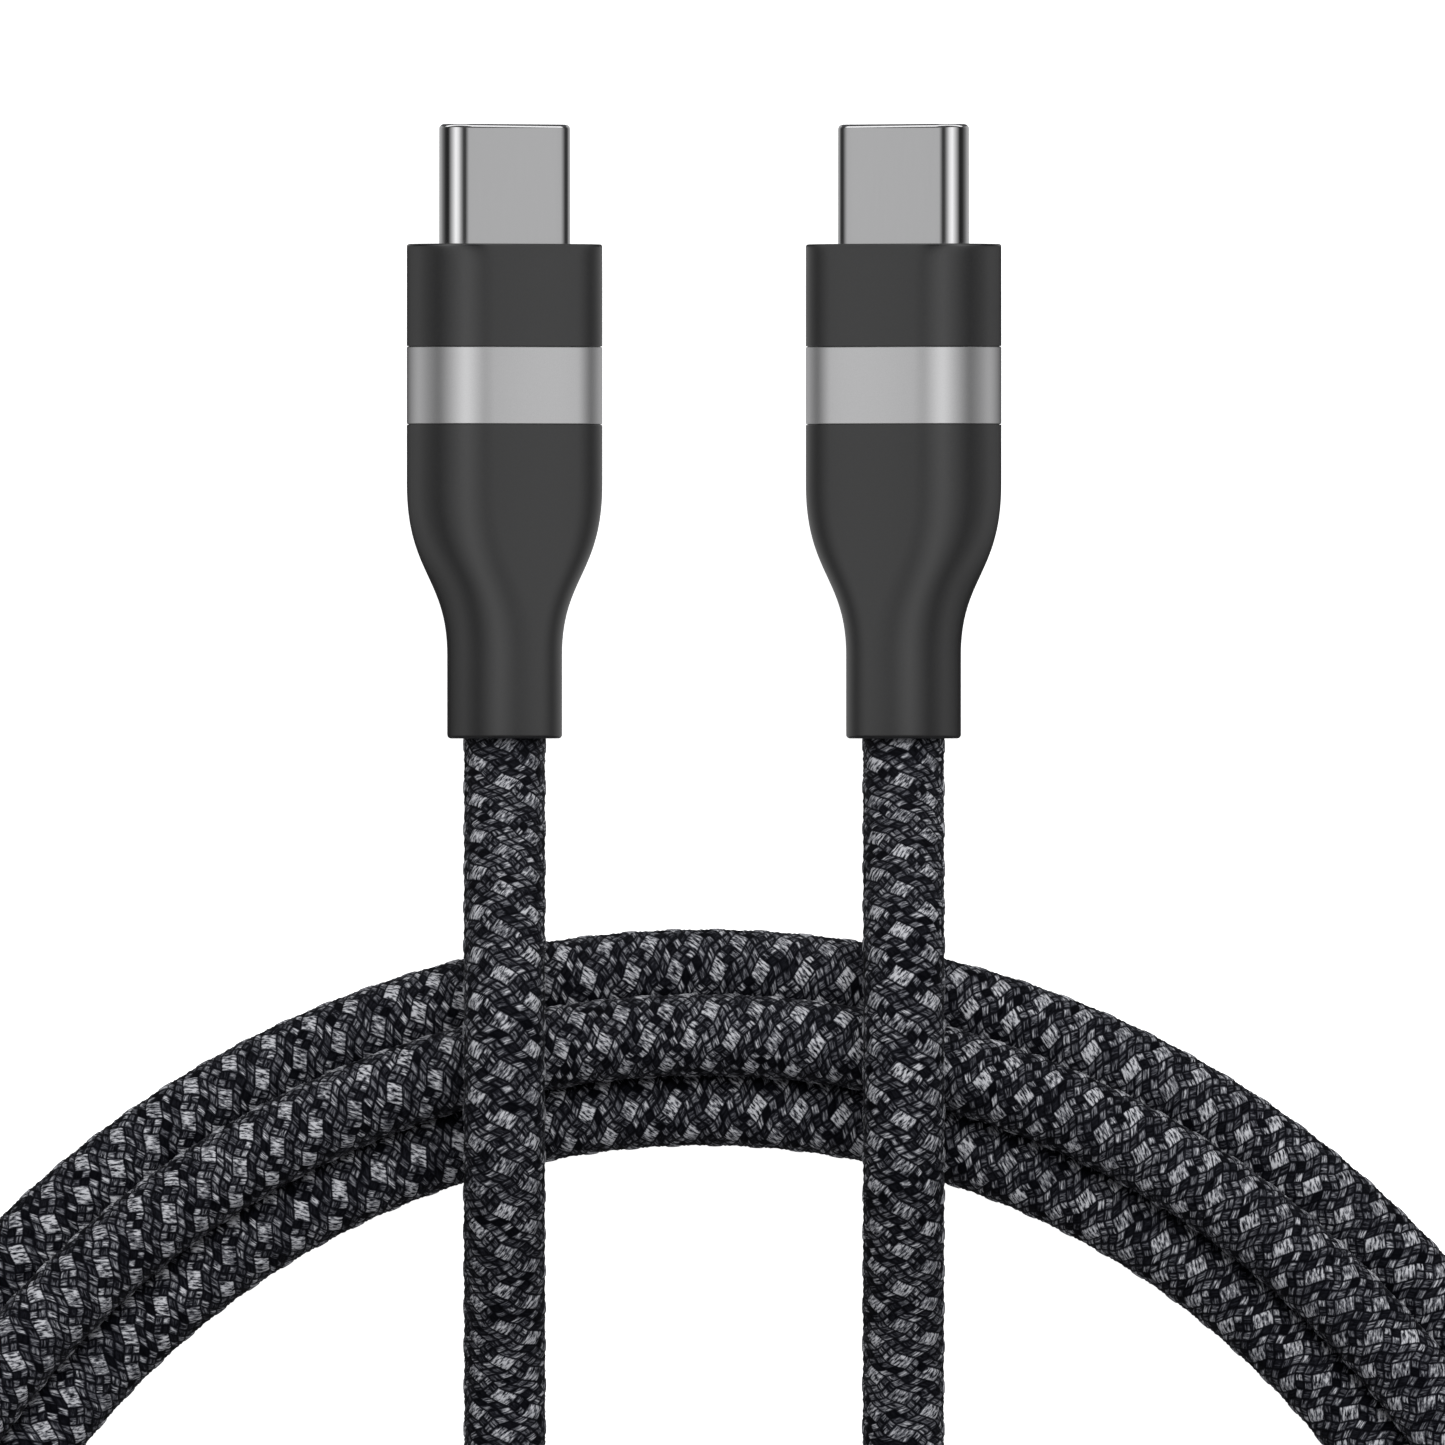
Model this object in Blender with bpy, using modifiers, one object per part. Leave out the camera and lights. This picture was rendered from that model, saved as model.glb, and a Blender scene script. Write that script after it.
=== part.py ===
"""A coiled USB-C charging cable with a plug on each end, built as an assembly of separate pieces.

Frame: metres, +Z up. Both plugs point along +Y and lie side by side on the surface z = 0.
The origin is the centre of the two plugs' footprint. Each plug is modelled once in its own
millimetre frame (x across, y towards the tip, z through its thickness) and hung on an empty.
"""

import math

import bmesh
import bpy
import numpy as np
from mathutils import Vector

MM = 0.001
MERGE = 1e-5  # points closer than this, in millimetres, are one

# Where the plugs lie
PLUG_SPACING = 22.1  # between the two plugs' axes
ROLL = math.radians(33.75)  # each plug lies tilted on the rounded edge of its body
TIP_Y = 17.02
TAIL_Y = -17.02

# Body section: a stadium, two half circles joined by flats
BODY_FLAT = 2.724  # half the width of the flat faces
BODY_R = 3.15
SLEEVE_R = 3.185
WALL_R = 2.55  # inside of the outer pieces
ARC_STEPS = 16  # facets in each half circle
REST_HEIGHT = BODY_FLAT * math.sin(ROLL) + BODY_R

# Stations along the plug
SHOULDER_Y = 10.38
RING_FRONT_Y = 4.69
RING_REAR_Y = 0.39
TAPER_START_Y = -2.92
TAPER_END_Y = -12.39
TAPER_HANDLES = (0.526, 0.456)  # how long each end of the taper keeps its direction
TAPER_STEPS = 8
SEAM = 0.03  # gap at the ring's two edges
NOSE_ROUND = 0.12
RING_CHAMFER = 0.08
MOUTH_ROUND = 0.22
FRONT_WALL = 0.8

# Metal shell of the plug, a standard size
SHELL_FLAT = 2.925
SHELL_R = 1.2
SHELL_WALL = 0.3
SHELL_REAR_Y = 7.6
SHELL_RIM_ROUND = 0.27
SHELL_CLEARANCE = 0.04

# Contact block inside the shell
BLOCK_FRONT_Y = 16.6
BLOCK_REAR_Y = 7.5
BLOCK_R = 0.87
SLOT_HALF_WIDTH = 3.4
SLOT_HALF_HEIGHT = 0.6
SLOT_END_Y = 9.0
WINDOW_HALF_HEIGHT = 0.33
WINDOW_Y = (9.6, 15.6)

# Spring contacts: a comb of fingers on a bar
CONTACT_COUNT = 12
CONTACT_PITCH = 0.5
CONTACT_WIDTH = 0.25
CONTACT_THICKNESS = 0.1
CONTACT_SPINE = ((9.1, 0.46), (9.5, 0.46), (14.5, 0.32), (15.3, 0.39))  # (y, z) from root to tip
CONTACT_PIVOT = Vector((0, 9.3, 0.46))
TAIL_SPINE = ((7.4, 0.4), (7.15, 0.4), (5.4, 0.4))

# Side latches: spring arms with a hook
LATCH_OUTLINE = (
    (3.0, 9.1),
    (3.3, 9.1),
    (3.3, 15.3),
    (3.12, 15.3),
    (2.95, 14.9),
    (3.12, 14.3),
    (3.12, 9.6),
    (3.0, 9.6),
)
LATCH_HALF_HEIGHT = 0.25
LATCH_PIVOT = Vector((3.15, 9.35, 0))

# Circuit board and what is on it
BOARD_SIZE = (7.8, 9.2, 0.6)
BOARD_FRONT_Y = 7.0
CHIP_SIZE = (2.0, 2.0, 0.6)
CAPACITOR_SIZE = (1.0, 0.5, 0.5)
PART_LIFT = 0.03  # height of a part's solder joint over the board
PART_AHEAD = 1.0  # from the board's middle to the chip's and the capacitor's
CAPACITOR_X = 1.95

# Stamped shield around the board, and the moulded core around that
SHIELD_R = 1.65
SHIELD_THICKNESS = 0.2
SHIELD_Y = (-3.2, 7.0)
SHIELD_SPLIT = 0.04
CORE_R = 2.5
CORE_BORE_R = 1.75
CORE_Y = (-3.9, 9.2)
CORE_FRONT_WALL = 0.8

# Cord and its termination
CORD_R = 2.3
BORE_R = 2.36
CORD_END_Y = (-16.99, -8.6)
CRIMP_Y = (-8.3, -4.6)
CRIMP_R = 2.2
CRIMP_THICKNESS = 0.25
WIRE_START_Y = -8.3
WIRE_END_Y = -0.6
# name, insulation radius, place in the bundle (x, z), place on the board (x, side)
WIRES = (
    ("power_wire", 0.5, (-0.85, 0.6), (-2.4, 1)),
    ("ground_wire", 0.5, (0.85, 0.6), (2.4, 1)),
    ("data_wire_plus", 0.33, (-0.8, -0.85), (-1.4, -1)),
    ("data_wire_minus", 0.33, (0.0, -0.95), (0.0, -1)),
    ("configuration_wire", 0.33, (0.8, -0.85), (1.4, -1)),
)

# The coil: three turns on the surface. The middle turn's line is an oval of six arcs: one on top,
# one at the bottom and two at each side. Headings run clockwise from the top of the oval.
COIL_CENTRE_Y = -83.3
TOP_ARC_R = 49.86
TOP_ARC_END = math.radians(55)
SIDE_ARC_R = 28.0
COIL_BOTTOM_Y = -108.6
COIL_STEPS = 72
OUTER_TURN = 3.59  # distance from the middle turn's line to the outer turn's
INNER_TURN = -3.89
TURN_RISE = 2.88  # the middle turn lies in the groove between the other two
COIL_TOP_HALF_WIDTH = 1.1
COIL_FOOT_INSET = 0.9
COIL_SHOULDER = 3.45  # height where the coil's sides turn in towards its top

# The cord from each plug's mouth over the coil and down into the middle of it. Each point is
# (distance from the cable's centre plane, y, height). The last ones run alongside the coil.
PLUG_X = PLUG_SPACING / 2
SHARED_ROUTE = (
    (PLUG_X, TAIL_Y, REST_HEIGHT),
    (PLUG_X, -21.4, 5.3),
    (PLUG_X, -25.85, 7.31),
    (PLUG_X, -30.3, 9.3),
    (PLUG_X, -34.7, 9.98),
    (PLUG_X, -40.4, 9.0),
    (PLUG_X, -46.1, 6.14),
    (PLUG_X, -51.8, 3.27),
    (PLUG_X, -57.5, 2.32),
    (PLUG_X, -63.0, 2.32),
)
INCOMING_ROUTE = (
    (10.8, -68.5, 2.32),
    (9.6, -76.0, 2.32),
    (11.1, -83.9, 2.32),
    (16.6, -90.0, 2.32),
    (24.3, -92.3, 2.32),
)
OUTGOING_ROUTE = (
    (10.8, -68.5, 2.55),
    (10.3, -76.5, 3.7),
    (12.1, -86.0, 5.5),
    (18.2, -93.0, 6.85),
    (26.5, -95.4, 6.95),
)
LEAD_GAP = 0.3
LEAD_SPACING = 5.0  # between the points that the tube follows
LEAD_CLEAR_Y = -63.3  # ahead of this the lead passes over the coil, clear of its inner side

BLACK = ("black_moulding", (0.021, 0.021, 0.021), 0.45, 0.0)
ALUMINIUM = ("satin_aluminium", (0.42, 0.42, 0.42), 0.35, 1.0)
NICKEL = ("nickel_plate", (0.6, 0.6, 0.6), 0.2, 1.0)
GOLD = ("gold_plate", (0.83, 0.6, 0.25), 0.25, 1.0)
BLOCK_PLASTIC = ("contact_block_plastic", (0.015, 0.015, 0.015), 0.5, 0.0)
STEEL = ("spring_steel", (0.5, 0.5, 0.5), 0.3, 1.0)
BOARD_GREEN = ("circuit_board", (0.02, 0.12, 0.05), 0.4, 0.0)
EPOXY = ("chip_epoxy", (0.02, 0.02, 0.02), 0.6, 0.0)
CERAMIC = ("capacitor_ceramic", (0.35, 0.24, 0.14), 0.5, 0.0)
CORE_PLASTIC = ("core_plastic", (0.6, 0.6, 0.58), 0.5, 0.0)
COPPER = ("crimp_copper", (0.72, 0.43, 0.3), 0.3, 1.0)
BRAID = ("braided_cord", (0.05, 0.05, 0.055), 0.6, 0.0)
WIRE_COLOURS = (
    ("red_insulation", (0.6, 0.02, 0.02), 0.5, 0.0),
    ("black_insulation", (0.02, 0.02, 0.02), 0.5, 0.0),
    ("green_insulation", (0.02, 0.35, 0.06), 0.5, 0.0),
    ("white_insulation", (0.75, 0.75, 0.72), 0.5, 0.0),
    ("blue_insulation", (0.03, 0.1, 0.5), 0.5, 0.0),
)


def clear_scene():
    for item in list(bpy.data.objects):
        bpy.data.objects.remove(item, do_unlink=True)


def new_collection(name):
    collection = bpy.data.collections.new(name)
    bpy.context.scene.collection.children.link(collection)
    return collection


def material_of(look):
    """The material of this look: (name, colour, roughness, metallic)."""
    name, colour, roughness, metallic = look
    material = bpy.data.materials.get(name)
    if material:
        return material
    material = bpy.data.materials.new(name)
    material.use_nodes = True
    shader = material.node_tree.nodes["Principled BSDF"]
    shader.inputs["Base Color"].default_value = (*colour, 1)
    shader.inputs["Roughness"].default_value = roughness
    shader.inputs["Metallic"].default_value = metallic
    return material


def add_object(name, data, look, parent=None, pivot=Vector()):
    """An object whose data is in metres about its pivot, a point in millimetres in the parent's frame."""
    piece = bpy.data.objects.new(name, data)
    data.materials.append(material_of(look))
    parts.objects.link(piece)
    piece.parent = parent
    piece.location = pivot * MM
    return piece


def finished_mesh(shape, name, pivot=Vector()):
    """A mesh in metres about the pivot, from a bmesh in millimetres."""
    bmesh.ops.remove_doubles(shape, verts=shape.verts, dist=MERGE)
    bmesh.ops.recalc_face_normals(shape, faces=shape.faces)
    bmesh.ops.translate(shape, verts=shape.verts, vec=-pivot)
    bmesh.ops.scale(shape, verts=shape.verts, vec=(MM, MM, MM))
    mesh = bpy.data.meshes.new(name)
    shape.to_mesh(mesh)
    shape.free()
    mesh.shade_smooth()
    mesh.set_sharp_from_angle(angle=math.radians(30))
    return mesh


def stadium(flat, radius, steps):
    """Outline in X and Z: half circles about x = flat and x = -flat."""
    turns = [math.pi * (i / steps - 0.5) for i in range(steps + 1)]
    right = [(flat + radius * math.cos(t), radius * math.sin(t)) for t in turns]
    return right + [(-x, -z) for x, z in right]


def skin(shape, rings, hollow):
    """Faces between neighbouring rings of points, closed by caps, or on itself if hollow."""
    made = [[shape.verts.new(point) for point in ring] for ring in rings]
    pairs = list(zip(made, made[1:]))
    if hollow:
        pairs.append((made[-1], made[0]))
    else:
        shape.faces.new(made[0])
        shape.faces.new(made[-1])
    for first, second in pairs:
        for i in range(len(first)):
            j = (i + 1) % len(first)
            shape.faces.new((first[i], first[j], second[j], second[i]))


def lofted(name, stations, look, parent, hollow=True, steps=ARC_STEPS):
    """A solid through stadium sections, each (y, half flat, radius)."""
    shape = bmesh.new()
    rings = [[(x, y, z) for x, z in stadium(flat, radius, steps)] for y, flat, radius in stations]
    skin(shape, rings, hollow)
    return add_object(name, finished_mesh(shape, name), look, parent)


def prism(name, outline, low, high, place, look, parent, pivot=Vector()):
    """A flat outline made into a solid between two heights. place turns (u, v, height) into a point."""
    shape = bmesh.new()
    rings = [[place(u, v, height) for u, v in outline] for height in (low, high)]
    skin(shape, rings, hollow=False)
    return add_object(name, finished_mesh(shape, name, pivot), look, parent, pivot)


def box(name, size, centre, look, parent):
    shape = bmesh.new()
    bmesh.ops.create_cube(shape, size=1)
    bmesh.ops.scale(shape, verts=shape.verts, vec=size)
    bmesh.ops.translate(shape, verts=shape.verts, vec=centre)
    return add_object(name, finished_mesh(shape, name), look, parent)


def cut(piece, size, centre, parent):
    """Cuts a box out of the piece."""
    cutter = box(f"{piece.name}_cutter", size, centre, STEEL, parent)
    parts.objects.unlink(cutter)
    cutters.objects.link(cutter)
    cutter.hide_render = True
    cutter.display_type = "WIRE"
    boolean = piece.modifiers.new("cut", "BOOLEAN")
    boolean.object = cutter
    boolean.operation = "DIFFERENCE"


def taper_stations():
    """The body narrows to the round sleeve along a curve that leaves and ends straight."""
    length = TAPER_START_Y - TAPER_END_Y
    first, last = TAPER_HANDLES
    stations = []
    for i in range(TAPER_STEPS + 1):
        u = i / TAPER_STEPS
        along = 3 * u * (1 - u) ** 2 * first + 3 * u**2 * (1 - u) * (1 - last) + u**3
        narrowed = 3 * u**2 - 2 * u**3
        radius = BODY_R + (SLEEVE_R - BODY_R) * narrowed
        stations.append((TAPER_START_Y - along * length, BODY_FLAT * (1 - narrowed), radius))
    return stations


def make_shell(tag, frame):
    rim = []
    for turn in (0, math.pi / 4, math.pi / 2):
        drop = SHELL_RIM_ROUND * (1 - math.sin(turn))
        inset = SHELL_RIM_ROUND * (1 - math.cos(turn))
        rim.append((TIP_Y - drop, SHELL_FLAT, SHELL_R - inset))
    inside = SHELL_R - SHELL_WALL
    stations = [(SHELL_REAR_Y, SHELL_FLAT, SHELL_R), *rim]
    stations += [(TIP_Y, SHELL_FLAT, inside), (SHELL_REAR_Y, SHELL_FLAT, inside)]
    lofted(f"{tag}_plug_shell", stations, NICKEL, frame)


def make_front_cover(tag, frame):
    rear = RING_FRONT_Y + SEAM
    slot_r = SHELL_R + SHELL_CLEARANCE
    stations = (
        (rear, BODY_FLAT, BODY_R),
        (SHOULDER_Y - NOSE_ROUND, BODY_FLAT, BODY_R),
        (SHOULDER_Y, BODY_FLAT, BODY_R - NOSE_ROUND),
        (SHOULDER_Y, SHELL_FLAT, slot_r),
        (SHOULDER_Y - FRONT_WALL, SHELL_FLAT, slot_r),
        (SHOULDER_Y - FRONT_WALL, BODY_FLAT, WALL_R),
        (rear, BODY_FLAT, WALL_R),
    )
    lofted(f"{tag}_front_cover", stations, BLACK, frame)


def make_ring(tag, frame):
    stations = (
        (RING_REAR_Y, BODY_FLAT, BODY_R - RING_CHAMFER),
        (RING_REAR_Y + RING_CHAMFER, BODY_FLAT, BODY_R),
        (RING_FRONT_Y - RING_CHAMFER, BODY_FLAT, BODY_R),
        (RING_FRONT_Y, BODY_FLAT, BODY_R - RING_CHAMFER),
        (RING_FRONT_Y, BODY_FLAT, WALL_R),
        (RING_REAR_Y, BODY_FLAT, WALL_R),
    )
    lofted(f"{tag}_metal_ring", stations, ALUMINIUM, frame)


def make_rear_boot(tag, frame):
    front = RING_REAR_Y - SEAM
    stations = [(front, BODY_FLAT, BODY_R), *taper_stations()]
    stations += [
        (TAIL_Y + MOUTH_ROUND, 0, SLEEVE_R),
        (TAIL_Y, 0, SLEEVE_R - MOUTH_ROUND),
        (TAIL_Y, 0, BORE_R),
        (CORD_END_Y[1] - LEAD_GAP, 0, BORE_R),
        (CORE_Y[0] - LEAD_GAP, BODY_FLAT, WALL_R),
        (front, BODY_FLAT, WALL_R),
    ]
    lofted(f"{tag}_rear_boot", stations, BLACK, frame)


def make_core(tag, frame):
    rear, front = CORE_Y
    slot_r = SHELL_R + SHELL_CLEARANCE
    stations = (
        (rear, BODY_FLAT, CORE_R),
        (front, BODY_FLAT, CORE_R),
        (front, SHELL_FLAT, slot_r),
        (front - CORE_FRONT_WALL, SHELL_FLAT, slot_r),
        (front - CORE_FRONT_WALL, BODY_FLAT, CORE_BORE_R),
        (rear, BODY_FLAT, CORE_BORE_R),
    )
    lofted(f"{tag}_inner_core", stations, CORE_PLASTIC, frame, steps=ARC_STEPS // 2)


def make_contact_block(tag, frame):
    stations = ((BLOCK_REAR_Y, SHELL_FLAT, BLOCK_R), (BLOCK_FRONT_Y, SHELL_FLAT, BLOCK_R))
    block = lofted(
        f"{tag}_contact_block", stations, BLOCK_PLASTIC, frame, hollow=False, steps=ARC_STEPS // 2
    )
    slot_length = TIP_Y - SLOT_END_Y
    slot = (2 * SLOT_HALF_WIDTH, slot_length, 2 * SLOT_HALF_HEIGHT)
    cut(block, slot, (0, SLOT_END_Y + slot_length / 2, 0), frame)
    rear, front = WINDOW_Y
    window = (2 * (SHELL_FLAT + SHELL_R), front - rear, 2 * WINDOW_HALF_HEIGHT)
    cut(block, window, (0, (rear + front) / 2, 0), frame)


def make_comb(name, spine, side, pivot, frame):
    """Twelve fingers on a bar, cut from one sheet. The spine's first two points span the bar."""
    edges = []
    for i in range(CONTACT_COUNT):
        middle = (i - (CONTACT_COUNT - 1) / 2) * CONTACT_PITCH
        edges += [middle - CONTACT_WIDTH / 2, middle + CONTACT_WIDTH / 2]
    shape = bmesh.new()
    grid = [[shape.verts.new((x, y, side * z)) for x in edges] for y, z in spine]
    for row, (near, far) in enumerate(zip(grid, grid[1:])):
        for column in range(len(edges) - 1):
            in_finger = column % 2 == 0
            if row == 0 or in_finger:
                shape.faces.new((near[column], near[column + 1], far[column + 1], far[column]))
    loose = [vert for vert in shape.verts if not vert.link_faces]
    bmesh.ops.delete(shape, geom=loose, context="VERTS")
    comb = add_object(name, finished_mesh(shape, name, pivot), GOLD, frame, pivot)
    sheet = comb.modifiers.new("thickness", "SOLIDIFY")
    sheet.thickness = CONTACT_THICKNESS * MM
    sheet.offset = 0


def make_contacts(tag, frame):
    for row, side in (("upper", 1), ("lower", -1)):
        pivot = Vector((0, CONTACT_PIVOT.y, side * CONTACT_PIVOT.z))
        make_comb(f"{tag}_{row}_contacts", CONTACT_SPINE, side, pivot, frame)
        make_comb(f"{tag}_{row}_solder_tails", TAIL_SPINE, side, Vector(), frame)


def make_latches(tag, frame):
    for name, side in (("left", -1), ("right", 1)):
        pivot = Vector((side * LATCH_PIVOT.x, LATCH_PIVOT.y, LATCH_PIVOT.z))
        outline = [(side * x, y) for x, y in LATCH_OUTLINE]
        prism(
            f"{tag}_{name}_latch",
            outline,
            -LATCH_HALF_HEIGHT,
            LATCH_HALF_HEIGHT,
            lambda u, v, height: (u, v, height),
            STEEL,
            frame,
            pivot,
        )


def make_board(tag, frame):
    _, length, thickness = BOARD_SIZE
    middle = BOARD_FRONT_Y - length / 2
    box(f"{tag}_circuit_board", BOARD_SIZE, (0, middle, 0), BOARD_GREEN, frame)
    chip_z = thickness / 2 + PART_LIFT + CHIP_SIZE[2] / 2
    box(f"{tag}_marker_chip", CHIP_SIZE, (0, middle + PART_AHEAD, chip_z), EPOXY, frame)
    capacitor_z = -(thickness / 2 + PART_LIFT + CAPACITOR_SIZE[2] / 2)
    place = (CAPACITOR_X, middle + PART_AHEAD, capacitor_z)
    box(f"{tag}_capacitor", CAPACITOR_SIZE, place, CERAMIC, frame)


def make_shields(tag, frame):
    """Two stamped halves that close around the board."""
    for name, side in (("upper", 1), ("lower", -1)):
        outside = stadium(BODY_FLAT, SHIELD_R, ARC_STEPS // 2)
        inside = stadium(BODY_FLAT, SHIELD_R - SHIELD_THICKNESS, ARC_STEPS // 2)
        arch = [(x, z) for x, z in outside if z > MERGE]
        lining = [(x, z) for x, z in inside if z > MERGE]
        foot_out = BODY_FLAT + math.sqrt(SHIELD_R**2 - SHIELD_SPLIT**2)
        foot_in = foot_out - SHIELD_THICKNESS
        outline = [(foot_out, SHIELD_SPLIT), *arch, (-foot_out, SHIELD_SPLIT)]
        outline += [(-foot_in, SHIELD_SPLIT), *reversed(lining), (foot_in, SHIELD_SPLIT)]
        prism(
            f"{tag}_{name}_shield",
            [(x, side * z) for x, z in outline],
            *SHIELD_Y,
            lambda u, v, height: (u, height, v),
            STEEL,
            frame,
        )


def make_crimp(tag, frame):
    rear, front = CRIMP_Y
    inside = CRIMP_R - CRIMP_THICKNESS
    stations = ((rear, 0, CRIMP_R), (front, 0, CRIMP_R), (front, 0, inside), (rear, 0, inside))
    lofted(f"{tag}_cable_crimp", stations, COPPER, frame, steps=ARC_STEPS // 2)


def make_cord_end(tag, frame):
    stations = [(y, 0, CORD_R) for y in CORD_END_Y]
    lofted(f"{tag}_cord_end", stations, BRAID, frame, hollow=False)


def tube(name, points, radius, look, parent=None):
    """A round rod along points in millimetres."""
    line = bpy.data.curves.new(name, "CURVE")
    line.dimensions = "3D"
    line.bevel_depth = radius * MM
    line.bevel_resolution = 2
    line.use_fill_caps = True
    spline = line.splines.new("POLY")
    spline.points.add(len(points) - 1)
    for slot, point in zip(spline.points, points):
        slot.co = (*(Vector(point) * MM), 1)
    return add_object(name, line, look, parent)


def make_wires(tag, frame):
    """Insulated wires fan out from the crimp to their pads on both faces of the board."""
    for (name, radius, bundled, soldered), look in zip(WIRES, WIRE_COLOURS):
        pad_x, side = soldered
        pad_z = side * (BOARD_SIZE[2] / 2 + PART_LIFT + radius)
        board_rear = BOARD_FRONT_Y - BOARD_SIZE[1]
        points = (
            (bundled[0], WIRE_START_Y, bundled[1]),
            (bundled[0], CRIMP_Y[1], bundled[1]),
            (pad_x, board_rear, pad_z),
            (pad_x, WIRE_END_Y, pad_z),
        )
        tube(f"{tag}_{name}", points, radius, look, frame)


def make_plug(tag, side):
    """One plug with everything in it. side is -1 for the plug at -X and 1 for the one at +X."""
    frame = bpy.data.objects.new(f"{tag}_frame", None)
    parts.objects.link(frame)
    frame.location = Vector((side * PLUG_X, 0, REST_HEIGHT)) * MM
    frame.rotation_euler = (0, -side * ROLL, 0)
    for make in (
        make_shell,
        make_contact_block,
        make_contacts,
        make_latches,
        make_board,
        make_shields,
        make_crimp,
        make_wires,
        make_cord_end,
        make_core,
        make_front_cover,
        make_ring,
        make_rear_boot,
    ):
        make(tag, frame)


def oval_arcs():
    """The arcs of the middle turn's line: (centre x, centre y, radius, heading where it ends)."""
    side_x = (TOP_ARC_R - SIDE_ARC_R) * math.sin(TOP_ARC_END)
    side_y = COIL_CENTRE_Y + (TOP_ARC_R - SIDE_ARC_R) * math.cos(TOP_ARC_END)
    depth = side_y - SIDE_ARC_R - COIL_BOTTOM_Y
    side_end = 2 * math.atan2(side_x, depth)
    bottom_r = SIDE_ARC_R + side_x / math.sin(side_end)
    return (
        (0, COIL_CENTRE_Y, TOP_ARC_R, TOP_ARC_END),
        (side_x, side_y, SIDE_ARC_R, side_end),
        (0, COIL_BOTTOM_Y + bottom_r, bottom_r, math.pi),
    )


def oval_point(heading, offset):
    """The point at this heading, offset outwards from the middle turn's line."""
    turned = min(heading, 2 * math.pi - heading)
    side = 1 if heading <= math.pi else -1
    x, y, radius, _ = next(arc for arc in oval_arcs() if turned <= arc[3] + MERGE)
    x += (radius + offset) * math.sin(turned)
    return side * x, y + (radius + offset) * math.cos(turned)


def oval_offset(point):
    """How far the point is outside the middle turn's line; negative is inside."""
    x, y = abs(point[0]), point[1]
    for centre_x, centre_y, radius, end in oval_arcs():
        if math.atan2(x - centre_x, y - centre_y) <= end:
            return math.hypot(x - centre_x, y - centre_y) - radius
    return math.hypot(x, y - centre_y) - radius


def make_coil():
    """One solid of the coil's outer shape: its section swept around the oval."""
    outer = OUTER_TURN + CORD_R
    inner = INNER_TURN - CORD_R
    top = CORD_R + TURN_RISE + CORD_R
    section = (
        (inner + COIL_FOOT_INSET, 0),
        (outer - COIL_FOOT_INSET, 0),
        (outer, COIL_FOOT_INSET),
        (outer, COIL_SHOULDER),
        (COIL_TOP_HALF_WIDTH, top),
        (-COIL_TOP_HALF_WIDTH, top),
        (inner, COIL_SHOULDER),
        (inner, COIL_FOOT_INSET),
    )
    headings = [2 * math.pi * i / COIL_STEPS for i in range(COIL_STEPS)]
    rings = [[(*oval_point(heading, offset), z) for offset, z in section] for heading in headings]
    shape = bmesh.new()
    skin(shape, rings, hollow=True)
    add_object("cord_coil", finished_mesh(shape, "cord_coil"), BRAID)


def smooth_line(knots, spacing):
    """Points about this far apart on the natural cubic spline through the knots."""
    knots = np.array(knots, float)
    count = len(knots)
    span = np.linalg.norm(np.diff(knots, axis=0), axis=1)
    system = np.eye(count)
    sides = np.zeros((count, 3))
    for i in range(1, count - 1):
        system[i, i - 1 : i + 2] = span[i - 1], 2 * (span[i - 1] + span[i]), span[i]
        after = (knots[i + 1] - knots[i]) / span[i]
        before = (knots[i] - knots[i - 1]) / span[i - 1]
        sides[i] = 6 * (after - before)
    bend = np.linalg.solve(system, sides)
    points = []
    for i in range(count - 1):
        pieces = max(1, round(span[i] / spacing))
        for ahead in np.arange(pieces) / pieces * span[i]:
            left = span[i] - ahead
            cubic = (bend[i] * left**3 + bend[i + 1] * ahead**3) / (6 * span[i])
            start = (knots[i] / span[i] - bend[i] * span[i] / 6) * left
            end = (knots[i + 1] / span[i] - bend[i + 1] * span[i] / 6) * ahead
            points.append(cubic + start + end)
    return [*points, knots[-1]]


def make_lead(tag, side, route):
    """The free stretch of cord from a plug's mouth to where it runs into the coil."""
    knots = [(side * x, y, z) for x, y, z in (*SHARED_ROUTE, *route)]
    line = smooth_line(knots, LEAD_SPACING)
    line[0] = Vector(line[0]) - Vector((0, LEAD_GAP, 0))
    limit = INNER_TURN - 2 * CORD_R - LEAD_GAP
    clear = [point for point in line if point[1] > LEAD_CLEAR_Y or oval_offset(point) < limit]
    tube(f"{tag}_lead", clear, CORD_R, BRAID)


clear_scene()
parts = new_collection("charging_cable")
cutters = new_collection("cutters")
make_plug("a", -1)
make_plug("b", 1)
make_coil()
make_lead("a", -1, INCOMING_ROUTE)
make_lead("b", 1, OUTGOING_ROUTE)
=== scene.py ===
"""Looks of a coiled, braided charging cable with a plug on each end.

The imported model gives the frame: the plugs' places and stations are read from its nodes. Each
plug's visible mouldings and metal are lofted finely around it, and the cord is a braid of flat
yarn bundles on one smooth centreline that is wound into three turns. Lengths are in millimetres
until a mesh is made; meshes and the frame are in metres.
"""

import math

import bmesh
import bpy
import numpy as np
from mathutils import Matrix, Vector


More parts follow.
